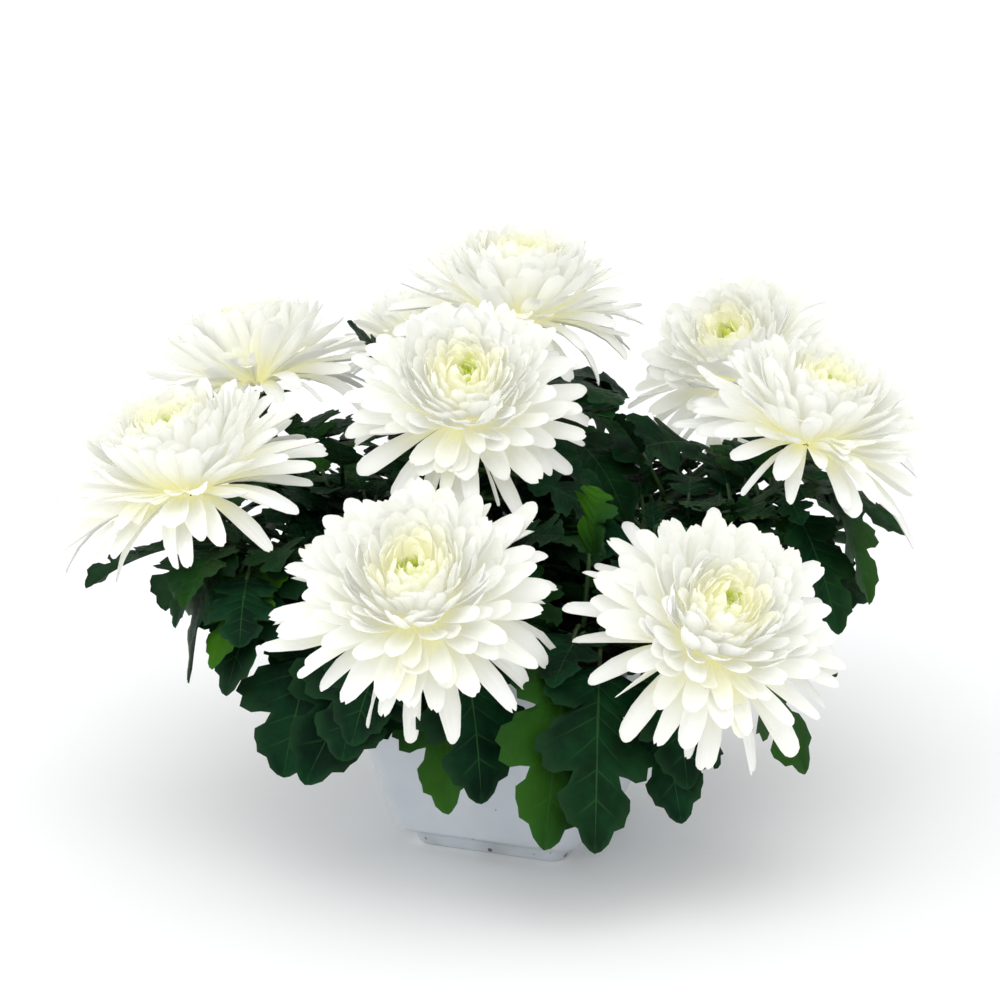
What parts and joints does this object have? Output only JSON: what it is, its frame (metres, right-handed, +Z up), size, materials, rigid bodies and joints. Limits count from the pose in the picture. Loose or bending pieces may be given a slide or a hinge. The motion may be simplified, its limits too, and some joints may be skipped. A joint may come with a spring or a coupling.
{
  "type": "pot chrysanthemum",
  "caption": "White double-flowered chrysanthemum plant in a square flared ceramic pot, with lobed leaves hanging over the rim.",
  "frame": {"origin": "centre of the pot's foot, on the surface that the pot stands on", "axes": "+Z up; X and Y along the pot's square sides; the plant's front faces -Y, turned 20 degrees towards +X"},
  "size_m": [0.4144, 0.4171, 0.2876],
  "materials": {
    "white_glaze": "satin white glaze with a faint cool cast and fine specks",
    "peat": "matte dark potting soil",
    "foliage": "dark green leaves with paler veins, green stems",
    "white_petals": "matte white petals, creamy towards a yellow-green eye"
  },
  "bodies": {
    "root": {"pot": "white_glaze", "soil": "peat", "cutting_left": "foliage", "cutting_back": "foliage", "cutting_right": "foliage", "cutting_front": "foliage", "cutting_front_right": "foliage", "bloom_left_front": "white_petals", "bloom_left_back": "white_petals", "bloom_back_top": "white_petals", "bloom_back_small": "white_petals", "bloom_centre": "white_petals", "bloom_front_left": "white_petals", "bloom_front_right": "white_petals", "bloom_right": "white_petals", "bloom_right_back": "white_petals"}
  },
  "joints": []
}
